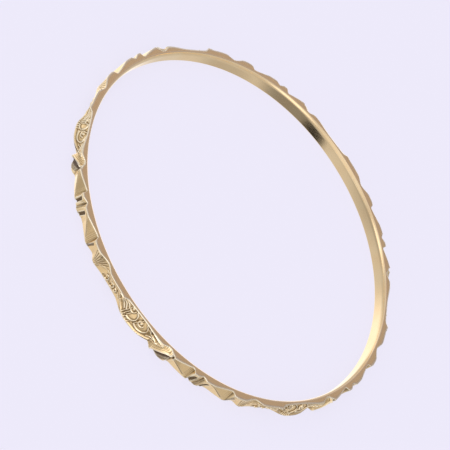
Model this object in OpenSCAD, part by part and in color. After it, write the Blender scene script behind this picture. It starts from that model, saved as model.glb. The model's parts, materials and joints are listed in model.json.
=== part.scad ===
// Slim slip-on bangle: a smooth inner band inside a ring of six struck
// relief sections, soldered butt to butt and run in along both edges.
// The bangle lies flat: its axis is +Z, its back face is z = 0 and its
// front face is z = width. Lengths are in millimetres, angles in degrees.

/* [Ring] */
// Radius of the wrist opening, at the smooth inner face
inner_r = 31; // [26:0.5:36]
// Width of the bangle along its axis
width = 2.6; // [2.2:0.1:4]

/* [Inner band] */
// Thickness of the smooth inner band
band_t = 0.5; // [0.45:0.01:0.55]
// Small bevel on the band's inner edge at the back face
band_bevel = 0.1; // [0.05:0.01:0.13]
// Depth of the long bright bevel inside the band, at the front face
front_bevel = 0.3; // [0.2:0.01:0.32]
// Length of that bevel along the axis
front_bevel_w = 0.8; // [0.4:0.05:1]

/* [Relief] */
// Height of the tallest part of the relief above the inner face
peak_h = 2; // [1.8:0.1:3]
// Extra height along the middle of each scroll panel, which is domed
panel_dome = 0.12; // [0:0.02:0.2]

/* [Solder] */
// Depth of the solder run along each edge of the band
edge_solder = 0.1; // [0.08:0.01:0.11]
// Width of the solder in each butt joint between two sections
butt_solder_w = 0.06; // [0.04:0.01:0.12]

/* [Hidden] */

sections = 6;
pitch = 360 / sections;
band_r = inner_r + band_t;
butt_angle = butt_solder_w / band_r * 180 / PI;
$fn = 180;

gold = [0.83, 0.69, 0.43];
pale_gold = [0.93, 0.80, 0.55];
solder_gold = [0.88, 0.76, 0.50];

// One repeat of the relief, which twists like a flattened cord. Each row is
// one station along the repeat:
// [angle from the joint, back edge height, ridge place, ridge height, front edge height].
// Heights are above the inner face, on a relief whose tallest part is 2 mm.
// The ridge place runs from 0 at the back edge to 1 at the front edge.
RELIEF_PEAK = 2;

// Scroll panel: a long leaf that leans towards the front edge
PANEL = [
    [0.0, 0.95, 0.50, 1.30, 1.60],
    [1.4, 1.30, 0.50, 1.15, 0.92],
    [3.0, 1.65, 0.50, 1.20, 0.76],
    [5.0, 1.70, 0.50, 1.18, 0.68],
    [7.0, 1.70, 0.50, 1.18, 0.66],
    [9.0, 1.66, 0.50, 1.15, 0.67],
    [10.6, 1.54, 0.50, 1.12, 0.78],
    [12.2, 1.15, 0.50, 1.05, 0.98],
    [13.4, 0.90, 0.50, 1.00, 1.14]
];

// Barrel knot that crosses the ring, with a dished foot at the front edge
KNOT = [
    [14.3, 1.15, 0.30, 1.18, 1.26],
    [15.3, 1.68, 0.12, 1.71, 1.33],
    [16.4, 1.68, 0.26, 1.81, 1.36],
    [17.5, 1.66, 0.43, 1.90, 1.16],
    [18.6, 1.64, 0.58, 1.96, 0.90],
    [19.8, 1.60, 0.73, 2.00, 0.90],
    [20.5, 1.46, 0.84, 1.92, 1.22]
];

// First twist: its ridge runs from the front edge to the back edge
FIRST_TWIST = [
    [21.1, 1.00, 0.90, 1.78, 1.76],
    [22.0, 0.90, 0.80, 1.72, 1.68],
    [24.0, 1.10, 0.57, 1.61, 1.42],
    [26.0, 1.26, 0.33, 1.52, 1.08],
    [27.9, 1.40, 0.10, 1.44, 0.76],
    [28.4, 1.42, 0.10, 1.44, 0.92]
];

// Narrow slanted knot after a steep step
SMALL_KNOT = [
    [28.9, 1.40, 0.50, 1.45, 1.64],
    [30.2, 1.32, 0.50, 1.50, 1.64],
    [31.1, 1.44, 0.50, 1.45, 1.32],
    [31.8, 1.46, 0.50, 1.38, 1.10],
    [32.5, 1.40, 0.50, 1.36, 1.34],
    [33.2, 1.30, 0.65, 1.41, 1.62]
];

// Second twist, shorter than the first
SECOND_TWIST = [
    [34.4, 0.86, 0.94, 1.56, 1.62],
    [36.0, 0.85, 0.84, 1.54, 1.56],
    [38.0, 1.04, 0.56, 1.50, 1.24],
    [40.0, 1.26, 0.27, 1.46, 0.98],
    [41.4, 1.44, 0.10, 1.46, 0.87],
    [42.2, 1.38, 0.10, 1.40, 0.86]
];

// Fluted fan, which opens from a peak on the back edge to the front edge
FAN = [
    [42.9, 1.22, 0.55, 1.49, 1.54],
    [43.8, 1.02, 0.65, 1.51, 1.70],
    [45.0, 0.78, 0.70, 1.50, 1.72],
    [46.0, 1.10, 0.60, 1.51, 1.70],
    [46.9, 1.50, 0.45, 1.52, 1.62],
    [48.1, 1.44, 0.40, 1.39, 1.22],
    [49.4, 1.14, 0.40, 1.16, 0.92],
    [50.4, 1.00, 0.40, 1.00, 0.84]
];

// Hollowed strip, high along the front edge and low along the back edge
STRIP = [
    [51.7, 0.84, 0.45, 0.95, 1.18],
    [53.0, 0.74, 0.50, 0.95, 1.56],
    [55.0, 0.66, 0.50, 0.95, 1.56],
    [57.0, 0.64, 0.50, 0.96, 1.52],
    [58.8, 0.70, 0.50, 1.05, 1.50],
    [60.0, 0.95, 0.50, 1.30, 1.60]
];

STATIONS = concat(PANEL, KNOT, FIRST_TWIST, SMALL_KNOT, SECOND_TWIST, FAN, STRIP);
PANEL_END = 13.4;

// The dome of the scroll panel, highest half way along it
function dome(angle) = angle < PANEL_END ? panel_dome * sin(angle / PANEL_END * 180) : 0;

// Radius of a point of the relief whose height is given on the 2 mm relief
function relief_r(height) = inner_r + height * peak_h / RELIEF_PEAK;

// A point on the ring
function ring_point(r, angle, z) = [r * cos(angle), r * sin(angle), z];

// The five corners of the relief's cross-section at one station
function cross_section(s, angle) = [
    ring_point(band_r, angle, 0),
    ring_point(relief_r(s[1]), angle, 0),
    ring_point(relief_r(s[3] + dome(s[0])), angle, s[2] * width),
    ring_point(relief_r(s[4]), angle, width),
    ring_point(band_r, angle, width)
];
CORNERS = 5;

// The stations keep half a butt joint clear at both ends of a section
function station_angle(s) = max(butt_angle / 2, min(pitch - butt_angle / 2, s[0]));

// Skin between station i and the next: two triangles for each side
function side_triangles(i) = [
    for (a = [0 : CORNERS - 1])
        let (b = (a + 1) % CORNERS, p = i * CORNERS, q = p + CORNERS)
        each [[p + a, q + a, q + b], [p + a, q + b, p + b]]
];

// A solid through the cross-sections given, closed at both ends
module swept(rings) {
    last = len(rings) - 1;
    front_cap = [for (a = [0 : CORNERS - 1]) a];
    end_cap = [for (a = [CORNERS - 1 : -1 : 0]) last * CORNERS + a];
    polyhedron(
        points = [for (ring = rings) each ring],
        faces = concat([front_cap], [for (i = [0 : last - 1]) each side_triangles(i)], [end_cap])
    );
}

// Seamless inner band, with a long bevel inside at the front face, a small
// one at the back face and solder grooves outside
module inner_band() {
    color(pale_gold)
    rotate_extrude()
    polygon([
        [inner_r + band_bevel, 0],
        [band_r - edge_solder, 0],
        [band_r, edge_solder],
        [band_r, width - edge_solder],
        [band_r - edge_solder, width],
        [inner_r + front_bevel, width],
        [inner_r, width - front_bevel_w],
        [inner_r, band_bevel]
    ]);
}

// One struck section, n = 1 to 6 counter-clockwise from +X
module relief_section(n) {
    start = (n - 1) * pitch;
    color(gold)
    swept([for (s = STATIONS) cross_section(s, start + station_angle(s))]);
}

// Solder in the butt joint at the start of section n
module butt_solder(n) {
    start = (n - 1) * pitch;
    color(solder_gold)
    swept([
        cross_section(STATIONS[0], start - butt_angle / 2),
        cross_section(STATIONS[0], start + butt_angle / 2)
    ]);
}

// Ring of solder that fills the groove between band and sections
module edge_solder_ring() {
    color(solder_gold)
    rotate_extrude()
    polygon([
        [band_r - edge_solder, 0],
        [band_r, 0],
        [band_r, edge_solder]
    ]);
}

module back_edge_solder() {
    edge_solder_ring();
}

module front_edge_solder() {
    translate([0, 0, width])
    mirror([0, 0, 1])
    edge_solder_ring();
}

inner_band();
relief_section(1);  // relief_section_1
relief_section(2);  // relief_section_2
relief_section(3);  // relief_section_3
relief_section(4);  // relief_section_4
relief_section(5);  // relief_section_5
relief_section(6);  // relief_section_6
butt_solder(1);  // butt_solder_1
butt_solder(2);  // butt_solder_2
butt_solder(3);  // butt_solder_3
butt_solder(4);  // butt_solder_4
butt_solder(5);  // butt_solder_5
butt_solder(6);  // butt_solder_6
front_edge_solder();
back_edge_solder();
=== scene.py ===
"""Slim slip-on gold bangle: a smooth inner band, six struck relief sections and their solder.

Lengths are metres unless a name ends in _MM or a docstring says otherwise. The ring's axis is
+Z. Its back face lies on the floor and its front face looks up. Places on the relief are given
as an angle in degrees from the joint at the start of a section, and a share of the width that
is 0 at the front edge and 1 at the back edge.
"""

import json
import math

import bmesh
import bpy
import numpy as np
from mathutils import Matrix, Vector


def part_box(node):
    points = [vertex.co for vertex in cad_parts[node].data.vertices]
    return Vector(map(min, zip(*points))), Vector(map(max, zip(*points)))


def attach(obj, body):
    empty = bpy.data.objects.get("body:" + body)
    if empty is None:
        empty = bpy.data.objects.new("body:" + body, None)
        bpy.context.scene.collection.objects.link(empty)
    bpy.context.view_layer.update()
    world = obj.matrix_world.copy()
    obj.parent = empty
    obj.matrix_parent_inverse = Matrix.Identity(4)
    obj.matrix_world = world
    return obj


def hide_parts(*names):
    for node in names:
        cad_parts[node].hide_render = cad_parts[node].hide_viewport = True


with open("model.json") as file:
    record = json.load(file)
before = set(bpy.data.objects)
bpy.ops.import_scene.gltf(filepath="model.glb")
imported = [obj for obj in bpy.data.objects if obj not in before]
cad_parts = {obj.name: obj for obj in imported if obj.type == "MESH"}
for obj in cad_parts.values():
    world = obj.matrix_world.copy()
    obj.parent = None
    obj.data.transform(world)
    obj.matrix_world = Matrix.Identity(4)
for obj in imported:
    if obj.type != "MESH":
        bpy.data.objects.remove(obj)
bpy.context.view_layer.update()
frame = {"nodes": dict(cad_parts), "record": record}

MM = 0.001
SECTIONS = 6
PITCH_DEG = 360 / SECTIONS

# Sizes read from the CAD nodes
band_low, band_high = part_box("inner_band")
solder_low, solder_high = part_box("back_edge_solder")
WIDTH = band_high.z - band_low.z
BAND_R = band_high.x
INNER_R = frame["record"]["mounts"][0]["dims"]["r_mm"] * MM
GROOVE = solder_high.z - solder_low.z
WIDTH_MM = WIDTH / MM

# Radius a little outside the relief. Its pieces are first spun plain to there, and lengths
# along the ring are measured there.
OUTSIDE_R = 33.1 * MM
MM_PER_DEG = math.radians(1) * OUTSIDE_R / MM


# ---------------------------------------------------------------- camera

CAMERA_AZIMUTH_DEG = 1.0
CAMERA_ELEVATION_DEG = 41.96
CAMERA_ROLL_DEG = 56.75
CAMERA_DISTANCE = 304.8 * MM
CAMERA_AIM = Vector((0.79, -1.26, -0.84)) * MM
CAMERA_LENS_MM = 148.0
CAMERA_SENSOR_MM = 36.0


def direction(azimuth_deg, elevation_deg):
    """Unit vector that points at an azimuth from +X and an elevation above the floor."""
    azimuth, elevation = math.radians(azimuth_deg), math.radians(elevation_deg)
    level = math.cos(elevation)
    return Vector((level * math.cos(azimuth), level * math.sin(azimuth), math.sin(elevation)))


def link(obj):
    """Puts an object into the scene and gives it back."""
    bpy.context.scene.collection.objects.link(obj)
    return obj


def make_camera():
    """The scene's camera, placed by its direction and distance from CAMERA_AIM."""
    data = bpy.data.cameras.new("camera")
    data.lens = CAMERA_LENS_MM
    data.sensor_width = CAMERA_SENSOR_MM
    data.clip_start = 0.01
    data.clip_end = 50.0
    camera = link(bpy.data.objects.new("camera", data))
    back = direction(CAMERA_AZIMUTH_DEG, CAMERA_ELEVATION_DEG)
    level = back.to_track_quat("Z", "Y").to_matrix().to_4x4()
    roll = Matrix.Rotation(math.radians(CAMERA_ROLL_DEG), 4, "Z")
    camera.matrix_world = Matrix.Translation(CAMERA_AIM + back * CAMERA_DISTANCE) @ level @ roll
    bpy.context.scene.camera = camera


# ---------------------------------------------------------------- relief: the struck shape

def cad_stations():
    """The first CAD section's stations, one row for each angle in degrees.

    A row holds the angle, the height at the back edge, the ridge's share of the width, the
    ridge's height and the height at the front edge. Heights are above the inner face, in mm.
    """
    rows = {}
    for vertex in frame["nodes"]["relief_section_1"].data.vertices:
        x, y, z = vertex.co
        r = math.hypot(x, y)
        if r > BAND_R + 1e-5:
            angle = round(math.degrees(math.atan2(y, x)), 2)
            rows.setdefault(angle, set()).add((round(z / MM, 4), round((r - INNER_R) / MM, 4)))
    table = []
    for angle in sorted(rows):
        back, ridge, front = sorted(rows[angle])
        table.append((angle, back[1], 1 - ridge[0] / WIDTH_MM, ridge[1], front[1]))
    return np.array(table)


def struck_height(stations, angle, across):
    """Height above the inner face in mm of the plain struck facets."""
    angles = stations[:, 0]
    turns = angle % PITCH_DEG
    back, ridge_place, ridge, front = (
        np.interp(turns, angles, stations[:, k], period=PITCH_DEG) for k in range(1, 5)
    )
    to_back = np.clip((across - ridge_place) / (1 - ridge_place), 0, 1)
    to_front = np.clip((ridge_place - across) / ridge_place, 0, 1)
    return ridge + (back - ridge) * to_back + (front - ridge) * to_front


def soften(grid, rows):
    """Rounds a grid along the ring, with a bell of that many rows either way."""
    reach = int(3 * rows)
    bell = np.exp(-0.5 * (np.arange(-reach, reach + 1) / rows) ** 2)
    bell /= bell.sum()
    padded = np.concatenate((grid[-reach:], grid, grid[:reach]))
    return np.apply_along_axis(lambda column: np.convolve(column, bell, "valid"), 0, padded)


def blend_in(low, high, value):
    """0 below low, 1 above high, smooth between."""
    share = np.clip((value - low) / (high - low), 0, 1)
    return share * share * (3 - 2 * share)


def between(start, end, fade, value):
    """1 between start and end, fading to 0 outside them."""
    return blend_in(start - fade, start, value) * (1 - blend_in(end, end + fade, value))


# A line touches nothing further away than REACH_MM: the distance there may stay at FAR_MM
REACH_MM = 0.8
FAR_MM = 1000.0


class Surface:
    """The places on one repeat of the relief where heights are worked out."""

    def __init__(self, angles_deg, across):
        self.angle = np.repeat(angles_deg[:, None], len(across), 1)
        self.across = np.repeat(across[None, :], len(angles_deg), 0)
        self.x = self.angle * MM_PER_DEG
        self.y = self.across * WIDTH_MM

    def distance(self, points):
        """Distance in mm from a line through points, each (degrees, share of the width)."""
        nearest = np.full(self.x.shape, FAR_MM)
        line = [(a * MM_PER_DEG, b * WIDTH_MM) for a, b in points]
        low = min(x for x, y in line) - REACH_MM
        high = max(x for x, y in line) + REACH_MM
        first, last = np.searchsorted(self.x[:, 0], (low, high))
        x, y = self.x[first:last], self.y[first:last]
        for (x0, y0), (x1, y1) in zip(line, line[1:]):
            dx, dy = x1 - x0, y1 - y0
            t = np.clip(((x - x0) * dx + (y - y0) * dy) / (dx * dx + dy * dy), 0, 1)
            gap = np.hypot(x - x0 - t * dx, y - y0 - t * dy)
            nearest[first:last] = np.minimum(nearest[first:last], gap)
        return nearest

    def stroke(self, points, half_width_mm):
        """1 along a line, falling to 0 at half_width_mm from it, with a round top."""
        return np.clip(1 - (self.distance(points) / half_width_mm) ** 2, 0, 1)

    def dot(self, place, radius_mm):
        """1 in the middle of a round spot, falling to 0 at its edge, with a round top."""
        gap = np.hypot(self.x - place[0] * MM_PER_DEG, self.y - place[1] * WIDTH_MM)
        return np.clip(1 - (gap / radius_mm) ** 2, 0, 1)

    def inside(self, front_line, back_line, fade_mm):
        """1 between two lines that run along the ring, fading to 0 in fade_mm outside them."""
        low = np.interp(self.angle, *zip(*front_line)) * WIDTH_MM
        high = np.interp(self.angle, *zip(*back_line)) * WIDTH_MM
        ends = (self.angle > front_line[0][0]) & (self.angle < front_line[-1][0])
        return ends * blend_in(-fade_mm, 0, self.y - low) * blend_in(-fade_mm, 0, high - self.y)


def arc(centre, radii, start_deg, end_deg, count=12):
    """Points on an oval arc: centre and radii in (degrees, share of the width)."""
    turns = [math.radians(start_deg + (end_deg - start_deg) * k / count) for k in range(count + 1)]
    return [
        (centre[0] + radii[0] * math.cos(t), centre[1] + radii[1] * math.sin(t)) for t in turns
    ]


# ---------------------------------------------------------------- relief: the chased detail

# Depths, heights and half widths of lines are in mm. A shade is painted shade: 0 on open gold and
# 1 in a deep hollow, where it darkens the gold's colour.

# Outline of the scroll panel
PANEL_BACK = [
    (-1.2, 0.06), (-0.5, 0.42), (1.0, 0.70), (2.6, 0.87), (4.5, 0.95),
    (8.6, 0.94), (10.4, 0.90), (12.2, 0.83), (13.6, 0.70), (15.0, 0.40), (16.2, 0.24), (17.2, 0.12),
]
PANEL_FRONT = [
    (-1.2, 0.06), (0.5, 0.05), (3.0, 0.04), (10.0, 0.04), (13.0, 0.05), (17.2, 0.12),
]
PANEL_GROUND_DEPTH = 0.15


def panel_hollow(surface):
    """Narrow leaf-shaped hollow between the panel's last scroll and its front rim."""
    return surface.inside(
        [(10.6, 0.12), (12.4, 0.10), (15.4, 0.21)], [(10.6, 0.13), (12.2, 0.27), (15.4, 0.25)], 0.05
    )


def panel_detail(surface):
    """Scroll panel: a sunk ground inside a raised rim, two scrolls, leaves and a beaded edge."""
    ground = surface.inside(PANEL_FRONT, PANEL_BACK, 0.02)
    height = -PANEL_GROUND_DEPTH * ground
    rim = surface.stroke(PANEL_BACK, 0.16) + surface.stroke(PANEL_FRONT, 0.13)
    height += 0.13 * np.clip(rim, 0, 1)

    scrolls = [
        (arc((4.9, 0.42), (2.1, 0.34), -65, 100), 0.15),
        (arc((9.0, 0.42), (2.4, 0.36), -60, 130), 0.16),
        (arc((4.4, 0.20), (0.9, 0.15), 0, 250), 0.12),
        (arc((8.8, 0.36), (1.0, 0.16), 20, 250), 0.13),
        ([(7.2, 0.72), (7.5, 0.50), (8.2, 0.30), (8.6, 0.14)], 0.10),
        ([(11.6, 0.14), (12.4, 0.28), (13.6, 0.37), (15.4, 0.36)], 0.12),
        ([(12.0, 0.66), (12.9, 0.52), (14.0, 0.46)], 0.10),
    ]
    leaves = [
        [(0.2, 0.22), (1.3, 0.42), (2.4, 0.60)],
        [(0.6, 0.18), (1.9, 0.30), (2.9, 0.52)],
        [(1.2, 0.12), (2.5, 0.20), (3.4, 0.34)],
    ]
    ribs = [[(2.9 + 0.65 * k, 0.70), (3.4 + 0.65 * k, 0.40)] for k in range(3)]
    fringe = [[(2.2 + 0.8 * k, 0.98), (2.8 + 0.8 * k, 0.78)] for k in range(5)]
    for points, half_width in scrolls:
        height += 0.20 * ground * surface.stroke(points, half_width)
    for points in leaves + ribs + fringe:
        height += 0.15 * ground * surface.stroke(points, 0.12)
    for eye in ((4.3, 0.15), (8.7, 0.34)):
        height += 0.26 * ground * surface.dot(eye, 0.34)
    for k in range(22):
        height += 0.05 * surface.dot((1.9 + 0.46 * k, 0.965), 0.12)
    height -= 0.20 * panel_hollow(surface)
    return height


def panel_shade(surface):
    """The hollow beside the panel's front rim and the steep drop behind its back rim."""
    drop = surface.stroke([(8.4, 1.0), (9.8, 0.985), (11.4, 0.95), (12.8, 0.87), (13.8, 0.78)], 0.15)
    return np.clip(0.95 * panel_hollow(surface) + 1.2 * drop, 0, 1)


# The knot's raised ridge, slanted from the back edge to the front edge
KNOT_RIDGE = [(14.9, 0.95), (16.0, 0.76), (17.5, 0.52), (19.2, 0.27), (20.6, 0.13)]
# Distance square to the ridge for each mm along the ring
KNOT_SLANT = 0.62


def knot_before(surface):
    """Distance in mm in front of the knot's ridge, square to it, and negative behind it."""
    places = [place for angle, place in KNOT_RIDGE][::-1]
    angles = [angle for angle, place in KNOT_RIDGE][::-1]
    return (np.interp(surface.across, places, angles) - surface.angle) * MM_PER_DEG * KNOT_SLANT


def knot_shade(surface):
    """Painted shade in the hollow behind the knot's ridge."""
    before = knot_before(surface)
    hollow = between(-1.5, -0.05, 0.06, before) * between(15.8, 20.9, 0.4, surface.angle)
    return hollow * (1.0 - 0.3 * blend_in(0.6, 1.3, -before)) * (surface.across < 0.97)


def knot_detail(surface):
    """Barrel knot: a fluted, dished face, a raised ridge and a deep cut behind the ridge."""
    before = knot_before(surface)
    height = 0.05 * surface.stroke(KNOT_RIDGE, 0.14)
    face = between(0.12, 1.25, 0.15, before) * between(13.6, 21.0, 0.4, surface.angle)
    height -= 0.16 * face * np.sin(np.clip(before / 1.3, 0, 1) * math.pi)
    height += 0.022 * face * np.cos(before * 2 * math.pi / 0.22)
    cut = between(-1.2, -0.05, 0.1, before) * between(15.8, 21.2, 0.5, surface.angle)
    height -= 0.45 * cut * np.exp(-((before + 0.45) / 0.45) ** 2)
    return height


# Each twist and its cut line: start and end in degrees
TWISTS = [(21.5, 28.4), (34.8, 42.0)]
TWIST_LINES = [(21.4, 26.6), (34.9, 40.2)]
LINE_HALF_WIDTH_MM = 0.10
LINE_DEPTH_MM = 0.04
LINE_SHADE = 0.75


def twist_line(surface, stations, start, end):
    """1 along the edge between a twist's two facets, falling to 0 beside it."""
    place = np.interp(surface.angle, stations[:, 0], stations[:, 2])
    gap = np.abs(surface.across - place) * WIDTH_MM
    line = np.clip(1 - (gap / LINE_HALF_WIDTH_MM) ** 2, 0, 1)
    return line * between(start, end, 0.3, surface.angle)


def twist_detail(surface, start, end):
    """Twist: fine cuts across the front facet, beside its steep end."""
    height = np.zeros(surface.x.shape)
    for k in range(3):
        foot = end - 0.35 - 0.5 * k
        reach = 0.82 * (foot - start) / (end - start)
        height -= 0.022 * surface.stroke([(foot, 0.04), (foot - 0.1, reach)], 0.07)
    return height


def small_knot_detail(surface):
    """Small knot: two narrow slanted bars with cuts between them."""
    height = np.zeros(surface.x.shape)
    height -= 0.34 * surface.stroke([(29.3, 0.96), (29.6, 0.6), (29.9, 0.32)], 0.36)
    height += 0.06 * surface.stroke([(30.1, 1.0), (30.6, 0.6), (31.2, 0.2)], 0.12)
    height -= 0.10 * surface.stroke([(30.8, 0.95), (31.4, 0.5), (31.9, 0.1)], 0.16)
    height += 0.05 * surface.stroke([(31.8, 1.0), (32.4, 0.55), (32.8, 0.2)], 0.12)
    height -= 0.30 * surface.stroke([(33.2, 0.9), (33.7, 0.6), (34.1, 0.36)], 0.32)
    return height


def steep_shade(surface):
    """The steep faces beside the small knot's bars and at the end of the second twist."""
    faces = surface.stroke([(29.3, 1.0), (29.7, 0.6), (29.9, 0.32)], 0.42)
    faces += surface.stroke([(33.2, 0.95), (33.7, 0.6), (34.2, 0.34)], 0.36)
    faces += 0.5 * surface.stroke([(31.1, 1.0), (31.5, 0.55), (31.9, 0.2)], 0.34)
    faces += 0.9 * surface.stroke([(42.4, 0.95), (42.9, 0.6), (43.4, 0.34)], 0.3)
    return np.clip(1.3 * faces, 0, 0.9)


def fan_detail(surface):
    """Fan: flutes that spread from the peak on the back edge down to the front edge."""
    height = np.zeros(surface.x.shape)
    for k in range(7):
        foot = 45.6 + 0.85 * k
        height -= 0.07 * surface.stroke([(47.2 + 0.18 * k, 0.97), (foot, 0.12)], 0.09)
    height += 0.06 * surface.stroke([(47.6, 1.0), (50.0, 0.45), (52.6, 0.10)], 0.14)
    return height


def strip_detail(surface):
    """Hollowed strip: small scrolls between shallow pits, behind a smooth front rim."""
    height = np.zeros(surface.x.shape)
    for place in ((52.0, 0.80), (54.6, 0.72), (56.4, 0.74), (53.3, 0.50), (57.6, 0.60)):
        height -= 0.12 * surface.dot(place, 0.40)
    curls = [
        arc((52.9, 0.62), (0.75, 0.22), -120, 110),
        arc((55.4, 0.55), (0.75, 0.24), -120, 110),
        arc((57.0, 0.55), (0.6, 0.2), -100, 120),
    ]
    for points in curls:
        height += 0.24 * surface.stroke(points, 0.18)
    height += 0.10 * surface.stroke([(51.6, 0.20), (56.0, 0.20), (58.6, 0.14)], 0.14)
    height += 0.12 * surface.stroke([(56.6, 0.26), (57.8, 0.42), (59.2, 0.62)], 0.15)
    for k in range(14):
        height += 0.04 * surface.dot((51.8 + 0.5 * k, 0.96), 0.10)
    return height


# How far corners between facets are rounded along the ring: where crisp, and where flowing
CRISP_ROUND_DEG = 0.10
FLOWING_ROUND_DEG = 0.45


def relief_heights(stations, angles_deg, across):
    """Height above the inner face in mm, and shade, for every angle and place across."""
    surface = Surface(angles_deg, across)
    crisp = struck_height(stations, surface.angle, surface.across)
    rows_per_deg = (len(angles_deg) - 1) / (angles_deg[-1] - angles_deg[0])
    height = soften(crisp, CRISP_ROUND_DEG * rows_per_deg)
    flowing = soften(crisp, FLOWING_ROUND_DEG * rows_per_deg)
    # The panel, fan and strip flow, and the knots and twists are crisp
    share = between(2.0, 12.5, 1.0, surface.angle) + between(44.5, 59.0, 0.8, surface.angle)
    height += (flowing - height) * np.clip(share, 0, 1)
    # The panel starts before the joint, at the end of the repeat before it
    repeat_before = Surface(angles_deg - PITCH_DEG, across)
    detail = panel_detail(surface) + panel_detail(repeat_before) + knot_detail(surface)
    detail += sum(twist_detail(surface, start, end) for start, end in TWISTS)
    detail += small_knot_detail(surface) + fan_detail(surface) + strip_detail(surface)
    lines = sum(twist_line(surface, stations, start, end) for start, end in TWIST_LINES)
    detail -= LINE_DEPTH_MM * lines
    shade = panel_shade(surface) + knot_shade(surface) + steep_shade(surface)
    return height + detail, np.clip(shade + LINE_SHADE * lines, 0, 1)


# ---------------------------------------------------------------- relief: the pieces

# A section is spun in SPIN_STEPS, then each step is cut finer
SPIN_STEPS = 60
CUTS = 15
STEPS_ALONG = SPIN_STEPS * (CUTS + 1)
# Mesh rows across the face, over each round edge, and up each side
ROWS_ACROSS = 56
EDGE_ROWS = 4
SIDE_ROWS = 3

# Half of the solder's width in each joint between sections, and its steps
JOINT_HALF_DEG = 0.055
SEAM_STEPS = 2

EDGE_ROUND_MM = 0.12
# Share of a low wall's height that its round edges may take, and the least height left
LOW_WALL_SHARE = 0.8
LEAST_WALL_MM = 0.02

# A place is fully sunk or proud when it differs by the depth below from what is around it. Sunk
# places get painted shade, and proud ones a pale colour that is partly real burnish and partly a
# painted highlight.
SHADE_SHEEN_REACH_MM = 0.13
SHADE_SHEEN_DEPTH_MM = 0.05
# Sunk value of full painted shade: above 1 the gold stops being metallic, so that the painted shade
# stays dark
DEEP_HOLLOW = 1.25
RELIEF_SHARP_DEG = 50


def rows_across():
    """Places across, from the back edge to the front edge, closer together on the round edges."""
    step = EDGE_ROUND_MM / WIDTH_MM
    edge = [step * (1 - math.cos(math.pi / 2 * k / EDGE_ROWS)) for k in range(EDGE_ROWS)]
    middle = np.linspace(step, 1 - step, ROWS_ACROSS)
    return np.concatenate((edge, middle, [1 - e for e in reversed(edge)]))[::-1]


def round_edges(heights, across):
    """Rounds the front and back edges over, less where the wall is low."""
    gap = np.minimum(across, 1 - across) * WIDTH_MM
    turn = np.clip(1 - gap / EDGE_ROUND_MM, 0, 1)
    drop = EDGE_ROUND_MM * (1 - np.sqrt(1 - turn ** 2))
    band = (BAND_R - INNER_R) / MM
    room = np.clip(heights - band - LEAST_WALL_MM, 0, None)
    return heights - np.minimum(drop[None, :], LOW_WALL_SHARE * room)


def relief_sunk_and_proud(heights, across):
    """How far each place is sunk below, and stands above, its surroundings: both from 0 to 1, as masks
    for painted shade and a partly painted highlight.
    """
    steps = STEPS_ALONG / PITCH_DEG / MM_PER_DEG * SHADE_SHEEN_REACH_MM
    columns = ROWS_ACROSS / WIDTH_MM * SHADE_SHEEN_REACH_MM
    around = soften(heights, steps)
    mirrored = np.concatenate((around[:, ::-1], around, around[:, ::-1]), 1)
    around = soften(mirrored.T, columns).T[:, len(across):2 * len(across)]
    sunk = np.clip((around - heights) / SHADE_SHEEN_DEPTH_MM, 0, 1)
    proud = np.clip((heights - around) / SHADE_SHEEN_DEPTH_MM, 0, 1)
    # Proud is also full on the rounded front and back edges, where it paints a highlight line
    edge = np.minimum(across, 1 - across) * WIDTH_MM
    proud = np.maximum(proud, (1 - blend_in(0.5 * EDGE_ROUND_MM, 1.2 * EDGE_ROUND_MM, edge))[None])
    return sunk, proud


def struck_repeat():
    """Places across, then the heights in mm, sunk values and proud values of one repeat.

    Sunk goes from 0 to 1 by how far a place lies below its surroundings, and up to
    DEEP_HOLLOW in the painted shade of the hollows; it drives painted shade. Proud goes from 0 to 1
    and drives a pale colour that is partly real burnish and partly a painted highlight.
    """
    across = rows_across()
    period = np.linspace(0, PITCH_DEG, STEPS_ALONG + 1)[:-1]
    heights, shade = relief_heights(cad_stations(), period, across)
    heights = round_edges(heights, across)
    heights = np.maximum(heights, (BAND_R - INNER_R) / MM + LEAST_WALL_MM)
    sunk, proud = relief_sunk_and_proud(heights, across)
    return across, heights, np.maximum(sunk, DEEP_HOLLOW * shade), proud


def turn_of(vert):
    """Angle of a vertex about the ring's axis."""
    return math.atan2(vert.co.y, vert.co.x)


def spin_outline(outline, start, sweep, steps):
    """A bmesh of a closed outline of (radius, height) points, spun about the ring's axis."""
    bm = bmesh.new()
    verts = [bm.verts.new((r * math.cos(start), r * math.sin(start), z)) for r, z in outline]
    edges = [bm.edges.new(pair) for pair in zip(verts, verts[1:] + verts[:1])]
    full_turn = sweep == 2 * math.pi
    bmesh.ops.spin(
        bm, geom=verts + edges, cent=(0, 0, 0), axis=(0, 0, 1),
        angle=sweep, steps=steps, use_merge=full_turn, use_duplicate=False,
    )
    return bm


def new_mesh(name, bm):
    """A mesh made from a bmesh, which is freed."""
    mesh = bpy.data.meshes.new(name)
    bm.to_mesh(mesh)
    bm.free()
    return mesh


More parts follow.
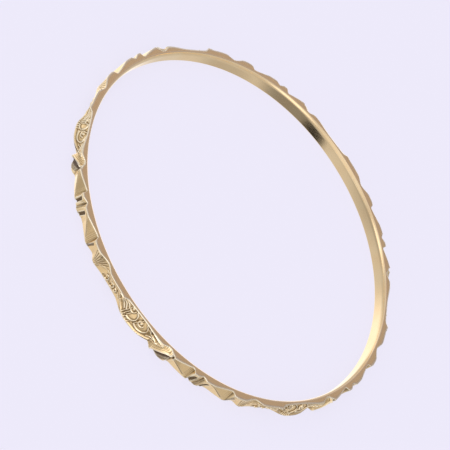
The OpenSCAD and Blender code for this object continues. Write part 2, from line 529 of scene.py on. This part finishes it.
def strike(mesh, repeat, turn):
    """Gives a plain piece of the relief ring its heights and its sunk and proud values, which drive
    painted shade and a partly painted highlight, and turns it about the axis.
    """
    across, heights, sunk, proud = repeat
    co = np.empty(len(mesh.vertices) * 3)
    mesh.vertices.foreach_get("co", co)
    co = co.reshape(-1, 3)
    r = np.hypot(co[:, 0], co[:, 1])
    angle = np.arctan2(co[:, 1], co[:, 0])
    row = np.degrees(angle) / PITCH_DEG * STEPS_ALONG
    low_row = np.floor(row).astype(int)
    part = row - low_row
    column = np.abs((1 - co[:, 2] / WIDTH)[:, None] - across[None]).argmin(1)
    near = heights[low_row % STEPS_ALONG, column]
    far = heights[(low_row + 1) % STEPS_ALONG, column]
    outer = INNER_R + (near * (1 - part) + far * part) * MM
    # 0 on the band side and 1 on the outer face, by steps up the sides
    share = np.round((r - BAND_R) / (OUTSIDE_R - BAND_R) * SIDE_ROWS) / SIDE_ROWS
    radius = BAND_R + share * (outer - BAND_R)
    co[:, 0] = radius * np.cos(angle + turn)
    co[:, 1] = radius * np.sin(angle + turn)
    mesh.vertices.foreach_set("co", co.ravel())
    for label, grid in (("sunk", sunk), ("proud", proud)):
        tone_shade_and_sheen = mesh.attributes.new(label, "FLOAT", "POINT")
        values = grid[low_row % STEPS_ALONG, column] * (share > 0.99)
        tone_shade_and_sheen.data.foreach_set("value", values.astype(np.float32))


def make_relief_piece(name, repeat, start_deg, end_deg, steps, cuts, turn_deg):
    """One solid of the relief ring, from start_deg to end_deg, then turned about the axis."""
    side = [BAND_R + (OUTSIDE_R - BAND_R) * k / SIDE_ROWS for k in range(SIDE_ROWS)]
    outline = [(r, 0.0) for r in side]
    outline += [(OUTSIDE_R, (1 - place) * WIDTH) for place in repeat[0]]
    outline += [(r, WIDTH) for r in reversed(side)]
    bm = spin_outline(outline, math.radians(start_deg), math.radians(end_deg - start_deg), steps)
    bmesh.ops.holes_fill(bm, edges=[e for e in bm.edges if e.is_boundary], sides=0)
    bmesh.ops.recalc_face_normals(bm, faces=bm.faces)
    if cuts:
        along = [e for e in bm.edges if abs(turn_of(e.verts[0]) - turn_of(e.verts[1])) > 1e-5]
        bmesh.ops.subdivide_edges(bm, edges=along, cuts=cuts, use_grid_fill=True)
    mesh = new_mesh(name, bm)
    strike(mesh, repeat, math.radians(turn_deg))
    mesh.shade_smooth()
    mesh.set_sharp_from_angle(angle=math.radians(RELIEF_SHARP_DEG))
    mesh.update()
    return link(bpy.data.objects.new(name, mesh))


def finish_piece(piece, material, slot, *nodes):
    """Gives a piece its material, in the place of those CAD nodes. The slot argument is not used."""
    piece.data.materials.append(material)
    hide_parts(*nodes)
    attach(piece, "root")


# ---------------------------------------------------------------- band and edge solder

RING_STEPS = 360
RING_SHARP_DEG = 14

# The CAD band's bevels, which are rounded over here
BACK_BEVEL = 0.1 * MM
FRONT_BEVEL = 0.3 * MM
FRONT_BEVEL_WIDTH = 0.8 * MM
# The front bevel's curve: shares of its depth and of its width
FRONT_CURVE = [(0.55, 0.25), (0.25, 0.52), (0.06, 0.82), (0.0, 1.1)]
EDGE_BREAK = 0.03 * MM


def make_ring(name, outline):
    """A closed ring spun from a closed outline of (radius, height) points."""
    bm = spin_outline(outline, 0, 2 * math.pi, RING_STEPS)
    bmesh.ops.remove_doubles(bm, verts=bm.verts, dist=1e-7)
    bmesh.ops.recalc_face_normals(bm, faces=bm.faces)
    mesh = new_mesh(name, bm)
    mesh.shade_smooth()
    mesh.set_sharp_from_angle(angle=math.radians(RING_SHARP_DEG))
    return link(bpy.data.objects.new(name, mesh))


def band_outline():
    """Outline of the inner band: solder grooves outside, two bevels inside."""
    front_curve = [
        (INNER_R + depth * FRONT_BEVEL, WIDTH - width * FRONT_BEVEL_WIDTH)
        for depth, width in FRONT_CURVE
    ]
    return [
        (BAND_R - GROOVE, 0.0),
        (BAND_R, GROOVE),
        (BAND_R, WIDTH - GROOVE),
        (BAND_R - GROOVE, WIDTH),
        (INNER_R + FRONT_BEVEL + 0.07 * MM, WIDTH),
        (INNER_R + FRONT_BEVEL - 0.01 * MM, WIDTH - EDGE_BREAK),
        *front_curve,
        (INNER_R, BACK_BEVEL + EDGE_BREAK),
        (INNER_R + EDGE_BREAK, EDGE_BREAK),
        (INNER_R + BACK_BEVEL, 0.0),
    ]


# ---------------------------------------------------------------- materials

def new_material(name):
    """A material with an empty node tree."""
    material = bpy.data.materials.new(name)
    material.use_nodes = True
    material.node_tree.nodes.clear()
    return material


def new_group(name, inputs, outputs):
    """A node group with those sockets: its tree, its input node and its output node."""
    tree = bpy.data.node_groups.new(name, "ShaderNodeTree")
    for socket, kind in inputs:
        tree.interface.new_socket(socket, in_out="INPUT", socket_type=kind)
    for socket, kind in outputs:
        tree.interface.new_socket(socket, in_out="OUTPUT", socket_type=kind)
    return tree, tree.nodes.new("NodeGroupInput"), tree.nodes.new("NodeGroupOutput")


def add_math(tree, operation, first, second):
    """Output of a Math node. Each operand is a number or another node's output."""
    node = tree.nodes.new("ShaderNodeMath")
    node.operation = operation
    for socket, value in zip(node.inputs, (first, second)):
        if isinstance(value, (int, float)):
            socket.default_value = value
        else:
            tree.links.new(value, socket)
    return node.outputs[0]


def add_noise(tree, scale, detail, stretch):
    """Noise in the piece's own coordinates, packed closer along each axis by stretch."""
    nodes, links = tree.nodes, tree.links
    coordinate = nodes.new("ShaderNodeTexCoord")
    mapping = nodes.new("ShaderNodeMapping")
    mapping.inputs["Scale"].default_value = stretch
    links.new(coordinate.outputs["Object"], mapping.inputs["Vector"])
    noise = nodes.new("ShaderNodeTexNoise")
    noise.inputs["Scale"].default_value = scale
    noise.inputs["Detail"].default_value = detail
    links.new(mapping.outputs["Vector"], noise.inputs["Vector"])
    return noise.outputs["Fac"]


def add_mix(tree, share, first, second):
    """Colour that goes from first to second as share goes from 0 to 1."""
    mix = tree.nodes.new("ShaderNodeMix")
    mix.data_type = "RGBA"
    tree.links.new(share, mix.inputs["Factor"])
    for socket, value in ((mix.inputs["A"], first), (mix.inputs["B"], second)):
        if isinstance(value, tuple):
            socket.default_value = (*value, 1)
        else:
            tree.links.new(value, socket)
    return mix.outputs["Result"]


# Colour of the painted shade in sunk places, and the pale colour of proud places that is partly real
# burnish and partly a painted highlight
PAINTED_SHADE_COLOUR = (0.05, 0.022, 0.010)
BURNISH_AND_HIGHLIGHT_COLOUR = (1.0, 0.91, 0.71)
WARM_COLOUR = (0.95, 0.64, 0.33)

# Share of the painted shade colour in sunk places, and of the pale colour on proud ones, which is
# partly real burnish and partly a painted highlight
PAINTED_SHADE_SHARE = 0.75
SHINE_SHARE = 0.85
# Slow drifts of warmer gold: where in the noise they start, and how strong they are
DRIFT_SCALE = 260.0
WARM_FROM = 0.35
WARM_GAIN = 0.9
# How fast the gold stops being metallic as sunk rises above 1, which keeps the deepest painted shade
# dark
SHADE_DULL_GAIN = 3.6

POLISH_ROUGHNESS = 0.13
SUNK_ROUGHNESS = 0.30
DRIFT_ROUGHNESS = 0.10

SCRATCH_STRENGTH = 0.35
SCRATCH_DEPTH = 0.01 * MM
# The haze of scratches: where in the summed noise it starts, and how strong it is
HAZE_FROM = 0.9
HAZE_GAIN = 0.15


def make_shade_sheen_group():
    """Painted shade in recesses and a pale colour on proud edges, partly real burnish and partly a
    painted highlight, with slow drifts of warmer gold between.
    """
    inputs = [("Gold", "NodeSocketColor"), ("Sunk", "NodeSocketFloat"), ("Proud", "NodeSocketFloat")]
    outputs = [
        ("Color", "NodeSocketColor"), ("Roughness", "NodeSocketFloat"),
        ("Metallic", "NodeSocketFloat"),
    ]
    tree, inside, outside = new_group("tone_shade_and_sheen", inputs, outputs)
    sunk = inside.outputs["Sunk"]
    drift = add_noise(tree, DRIFT_SCALE, 3.0, (1.0, 1.0, 1.0))
    warm = add_math(tree, "MULTIPLY", add_math(tree, "SUBTRACT", drift, WARM_FROM), WARM_GAIN)
    colour = add_mix(tree, warm, inside.outputs["Gold"], WARM_COLOUR)
    colour = add_mix(tree, add_math(tree, "MULTIPLY", sunk, PAINTED_SHADE_SHARE), colour, PAINTED_SHADE_COLOUR)
    shine = add_math(tree, "MULTIPLY", inside.outputs["Proud"], SHINE_SHARE)
    colour = add_mix(tree, shine, colour, BURNISH_AND_HIGHLIGHT_COLOUR)
    tree.links.new(colour, outside.inputs["Color"])
    rough = add_math(tree, "MULTIPLY", sunk, SUNK_ROUGHNESS)
    rough = add_math(tree, "ADD", rough, add_math(tree, "MULTIPLY", drift, DRIFT_ROUGHNESS))
    rough = add_math(tree, "ADD", rough, POLISH_ROUGHNESS)
    tree.links.new(rough, outside.inputs["Roughness"])
    # The deepest painted shade is not metallic, so that it stays dark
    shade_dull = add_math(tree, "MULTIPLY", add_math(tree, "SUBTRACT", sunk, 1.0), SHADE_DULL_GAIN)
    shade_dull.node.use_clamp = True
    tree.links.new(add_math(tree, "SUBTRACT", 1.0, shade_dull), outside.inputs["Metallic"])
    return tree


def make_scratch_group():
    """Fine scratches along the ring: a height for the bump, and a haze that dulls the polish."""
    outputs = [("Height", "NodeSocketFloat"), ("Haze", "NodeSocketFloat")]
    tree, inside, outside = new_group("scratches", [("Amount", "NodeSocketFloat")], outputs)
    coarse = add_noise(tree, 900.0, 4.0, (1.0, 1.0, 6.0))
    fine = add_noise(tree, 1500.0, 2.0, (1.0, 1.0, 14.0))
    both = add_math(tree, "ADD", coarse, fine)
    height = add_math(tree, "MULTIPLY", both, inside.outputs["Amount"])
    tree.links.new(height, outside.inputs["Height"])
    haze = add_math(tree, "MULTIPLY", add_math(tree, "SUBTRACT", both, HAZE_FROM), HAZE_GAIN)
    tree.links.new(haze, outside.inputs["Haze"])
    return tree


def add_group(tree, group):
    """A node group placed in a tree."""
    node = tree.nodes.new("ShaderNodeGroup")
    node.node_tree = group
    return node


def gold_material(name, gold, added_roughness, scratch, with_painted_light):
    """Polished gold. One with painted light reads its piece's sunk and proud values, for painted shade
    in the hollows and a pale colour on proud edges that is partly real burnish and partly a painted
    highlight.
    """
    material = new_material(name)
    tree = material.node_tree
    nodes, links = tree.nodes, tree.links
    shader = nodes.new("ShaderNodeBsdfPrincipled")
    shader.inputs["Metallic"].default_value = 1.0
    tone_shade_and_sheen = add_group(tree, shade_sheen_group)
    tone_shade_and_sheen.inputs["Gold"].default_value = (*gold, 1)
    if with_painted_light:
        links.new(tone_shade_and_sheen.outputs["Metallic"], shader.inputs["Metallic"])
        for socket, attribute_name in (("Sunk", "sunk"), ("Proud", "proud")):
            attribute = nodes.new("ShaderNodeAttribute")
            attribute.attribute_name = attribute_name
            links.new(attribute.outputs["Fac"], tone_shade_and_sheen.inputs[socket])
    scratches = add_group(tree, scratch_group)
    scratches.inputs["Amount"].default_value = scratch
    bump = nodes.new("ShaderNodeBump")
    bump.inputs["Strength"].default_value = SCRATCH_STRENGTH
    bump.inputs["Distance"].default_value = SCRATCH_DEPTH
    links.new(scratches.outputs["Height"], bump.inputs["Height"])
    rough = add_math(tree, "ADD", tone_shade_and_sheen.outputs["Roughness"], scratches.outputs["Haze"])
    rough = add_math(tree, "ADD", rough, added_roughness)
    links.new(tone_shade_and_sheen.outputs["Color"], shader.inputs["Base Color"])
    links.new(rough, shader.inputs["Roughness"])
    links.new(bump.outputs["Normal"], shader.inputs["Normal"])
    out = nodes.new("ShaderNodeOutputMaterial")
    links.new(shader.outputs["BSDF"], out.inputs["Surface"])
    return material


# ---------------------------------------------------------------- stage

# Colour of everything behind the bangle
BACKDROP = (0.855, 0.831, 0.965)
# Colour of the studio's light in reflections
STUDIO_TINT = (1.0, 0.98, 0.99)
# A warmer part of the studio: azimuth, elevation, radius and softness in degrees
WARM_SIDE = (178, 42, 30, 20)
WARM_TINT = (0.97, 0.88, 0.97)

# The floor is mostly glow, so that it stays as even as the backdrop
FLOOR_R = 2.0
FLOOR_GLOW = 1.02
FLOOR_GLOW_SHARE = 0.85

# Height of a direction, from -1 straight down to 1 straight up, and how bright the studio is
STUDIO_LEVELS = [(-1.0, 0.78), (-0.78, 0.74), (-0.45, 0.60), (0.1, 0.60), (0.5, 0.72), (0.95, 0.90)]

# Soft round panels: azimuth, elevation, radius and softness in degrees, then brightness
STUDIO_PANELS = [
    (150, 38, 38, 14, 0.45),
    (-145, -20, 42, 18, 1.25),
    (-146, 0, 27, 8, 0.60),
    (180, 4, 12, 6, 1.50),
    (75, 42, 14, 10, 0.95),
    (-35, -8, 26, 12, 0.42),
    (42, -34, 18, 8, 0.27),
    (23, -38, 7, 2, 0.03),
    (42, 10, 13, 9, 1.35),
    (-52, 10, 12, 9, 1.30),
    (-5, 8, 24, 10, 0.85),
    (95, -42, 12, 8, 0.50),
    (5, 62, 23, 9, 1.60),
]


def add_panel(tree, azimuth, elevation, size_deg, soft_deg):
    """1 in directions that look at a soft round panel, 0 elsewhere."""
    toward = direction(azimuth, elevation)
    nodes, links = tree.nodes, tree.links
    coordinate = nodes.new("ShaderNodeTexCoord")
    dot = nodes.new("ShaderNodeVectorMath")
    dot.operation = "DOT_PRODUCT"
    dot.inputs[1].default_value = toward
    links.new(coordinate.outputs["Generated"], dot.inputs[0])
    fade = nodes.new("ShaderNodeMapRange")
    fade.interpolation_type = "SMOOTHSTEP"
    fade.inputs["From Min"].default_value = math.cos(math.radians(size_deg + soft_deg))
    fade.inputs["From Max"].default_value = math.cos(math.radians(max(size_deg - soft_deg, 0)))
    links.new(dot.outputs["Value"], fade.inputs["Value"])
    return fade.outputs["Result"]


def add_levels(tree):
    """Brightness of the empty studio by the height of the direction looked in."""
    nodes, links = tree.nodes, tree.links
    coordinate = nodes.new("ShaderNodeTexCoord")
    parts = nodes.new("ShaderNodeSeparateXYZ")
    links.new(coordinate.outputs["Generated"], parts.inputs["Vector"])
    curve = nodes.new("ShaderNodeFloatCurve")
    points = curve.mapping.curves[0].points
    for height, brightness in STUDIO_LEVELS:
        points.new((height + 1) / 2, brightness)
    # The first and last points are the two that a new curve starts with
    points.remove(points[-1])
    points.remove(points[0])
    curve.mapping.update()
    to_share = nodes.new("ShaderNodeMapRange")
    to_share.inputs["From Min"].default_value = -1.0
    links.new(parts.outputs["Z"], to_share.inputs["Value"])
    links.new(to_share.outputs["Result"], curve.inputs["Value"])
    return curve.outputs["Value"]


def make_world():
    """Soft studio that the gold reflects, with a plain backdrop where the camera looks past it."""
    world = bpy.data.worlds.new("studio")
    bpy.context.scene.world = world
    world.use_nodes = True
    tree = world.node_tree
    nodes, links = tree.nodes, tree.links
    nodes.clear()
    tone = add_levels(tree)
    for *panel, brightness in STUDIO_PANELS:
        mix = nodes.new("ShaderNodeMix")
        links.new(add_panel(tree, *panel), mix.inputs["Factor"])
        links.new(tone, mix.inputs["A"])
        mix.inputs["B"].default_value = brightness
        tone = mix.outputs["Result"]
    studio = nodes.new("ShaderNodeBackground")
    tint = add_mix(tree, add_panel(tree, *WARM_SIDE), STUDIO_TINT, WARM_TINT)
    links.new(tint, studio.inputs["Color"])
    links.new(tone, studio.inputs["Strength"])
    plain = nodes.new("ShaderNodeBackground")
    plain.inputs["Color"].default_value = (*BACKDROP, 1)
    path = nodes.new("ShaderNodeLightPath")
    mix = nodes.new("ShaderNodeMixShader")
    links.new(path.outputs["Is Camera Ray"], mix.inputs["Fac"])
    links.new(studio.outputs["Background"], mix.inputs[1])
    links.new(plain.outputs["Background"], mix.inputs[2])
    out = nodes.new("ShaderNodeOutputWorld")
    links.new(mix.outputs["Shader"], out.inputs["Surface"])


def make_floor():
    """Plain pale floor with a faint shadow, which the gold's reflections look through."""
    bm = bmesh.new()
    bmesh.ops.create_circle(bm, cap_ends=True, segments=96, radius=FLOOR_R)
    mesh = new_mesh("floor", bm)
    floor = link(bpy.data.objects.new("floor", mesh))
    material = new_material("floor")
    nodes, links = material.node_tree.nodes, material.node_tree.links
    shader = nodes.new("ShaderNodeBsdfPrincipled")
    shader.inputs["Base Color"].default_value = (*BACKDROP, 1)
    shader.inputs["Roughness"].default_value = 0.8
    shader.inputs["Specular IOR Level"].default_value = 0.0
    glow = nodes.new("ShaderNodeEmission")
    glow.inputs["Color"].default_value = (*BACKDROP, 1)
    glow.inputs["Strength"].default_value = FLOOR_GLOW
    lit = nodes.new("ShaderNodeMixShader")
    lit.inputs["Fac"].default_value = FLOOR_GLOW_SHARE
    links.new(shader.outputs["BSDF"], lit.inputs[1])
    links.new(glow.outputs["Emission"], lit.inputs[2])
    clear = nodes.new("ShaderNodeBsdfTransparent")
    path = nodes.new("ShaderNodeLightPath")
    mix = nodes.new("ShaderNodeMixShader")
    links.new(path.outputs["Is Glossy Ray"], mix.inputs["Fac"])
    links.new(lit.outputs["Shader"], mix.inputs[1])
    links.new(clear.outputs["BSDF"], mix.inputs[2])
    out = nodes.new("ShaderNodeOutputMaterial")
    links.new(mix.outputs["Shader"], out.inputs["Surface"])
    mesh.materials.append(material)


# ---------------------------------------------------------------- build

bpy.context.scene.view_settings.view_transform = "Standard"
make_camera()
make_world()
make_floor()

shade_sheen_group = make_shade_sheen_group()
scratch_group = make_scratch_group()
relief_gold = gold_material("relief_gold", (1.0, 0.745, 0.40), 0.0, 1.0, True)
band_gold = gold_material("band_gold", (1.0, 0.79, 0.49), -0.06, 0.5, False)
solder_gold = gold_material("solder_gold", (0.98, 0.80, 0.52), 0.05, 1.0, False)
repeat = struck_repeat()
for number in range(1, SECTIONS + 1):
    turn_deg = PITCH_DEG * (number - 1)
    section = make_relief_piece(
        f"struck_section_{number}", repeat, JOINT_HALF_DEG, PITCH_DEG - JOINT_HALF_DEG,
        SPIN_STEPS, CUTS, turn_deg,
    )
    finish_piece(section, relief_gold, "relief_gold", f"relief_section_{number}")
    seam = make_relief_piece(
        f"butt_seam_{number}", repeat, -JOINT_HALF_DEG, JOINT_HALF_DEG, SEAM_STEPS, 0, turn_deg
    )
    finish_piece(seam, solder_gold, "solder_gold", f"butt_solder_{number}")
finish_piece(make_ring("smooth_band", band_outline()), band_gold, "band_gold", "inner_band")
back_run = [(BAND_R - GROOVE, 0.0), (BAND_R, 0.0), (BAND_R, GROOVE)]
front_run = [(BAND_R - GROOVE, WIDTH), (BAND_R, WIDTH - GROOVE), (BAND_R, WIDTH)]
finish_piece(make_ring("back_solder_run", back_run), solder_gold, "solder_gold", "back_edge_solder")
finish_piece(make_ring("front_solder_run", front_run), solder_gold, "solder_gold", "front_edge_solder")
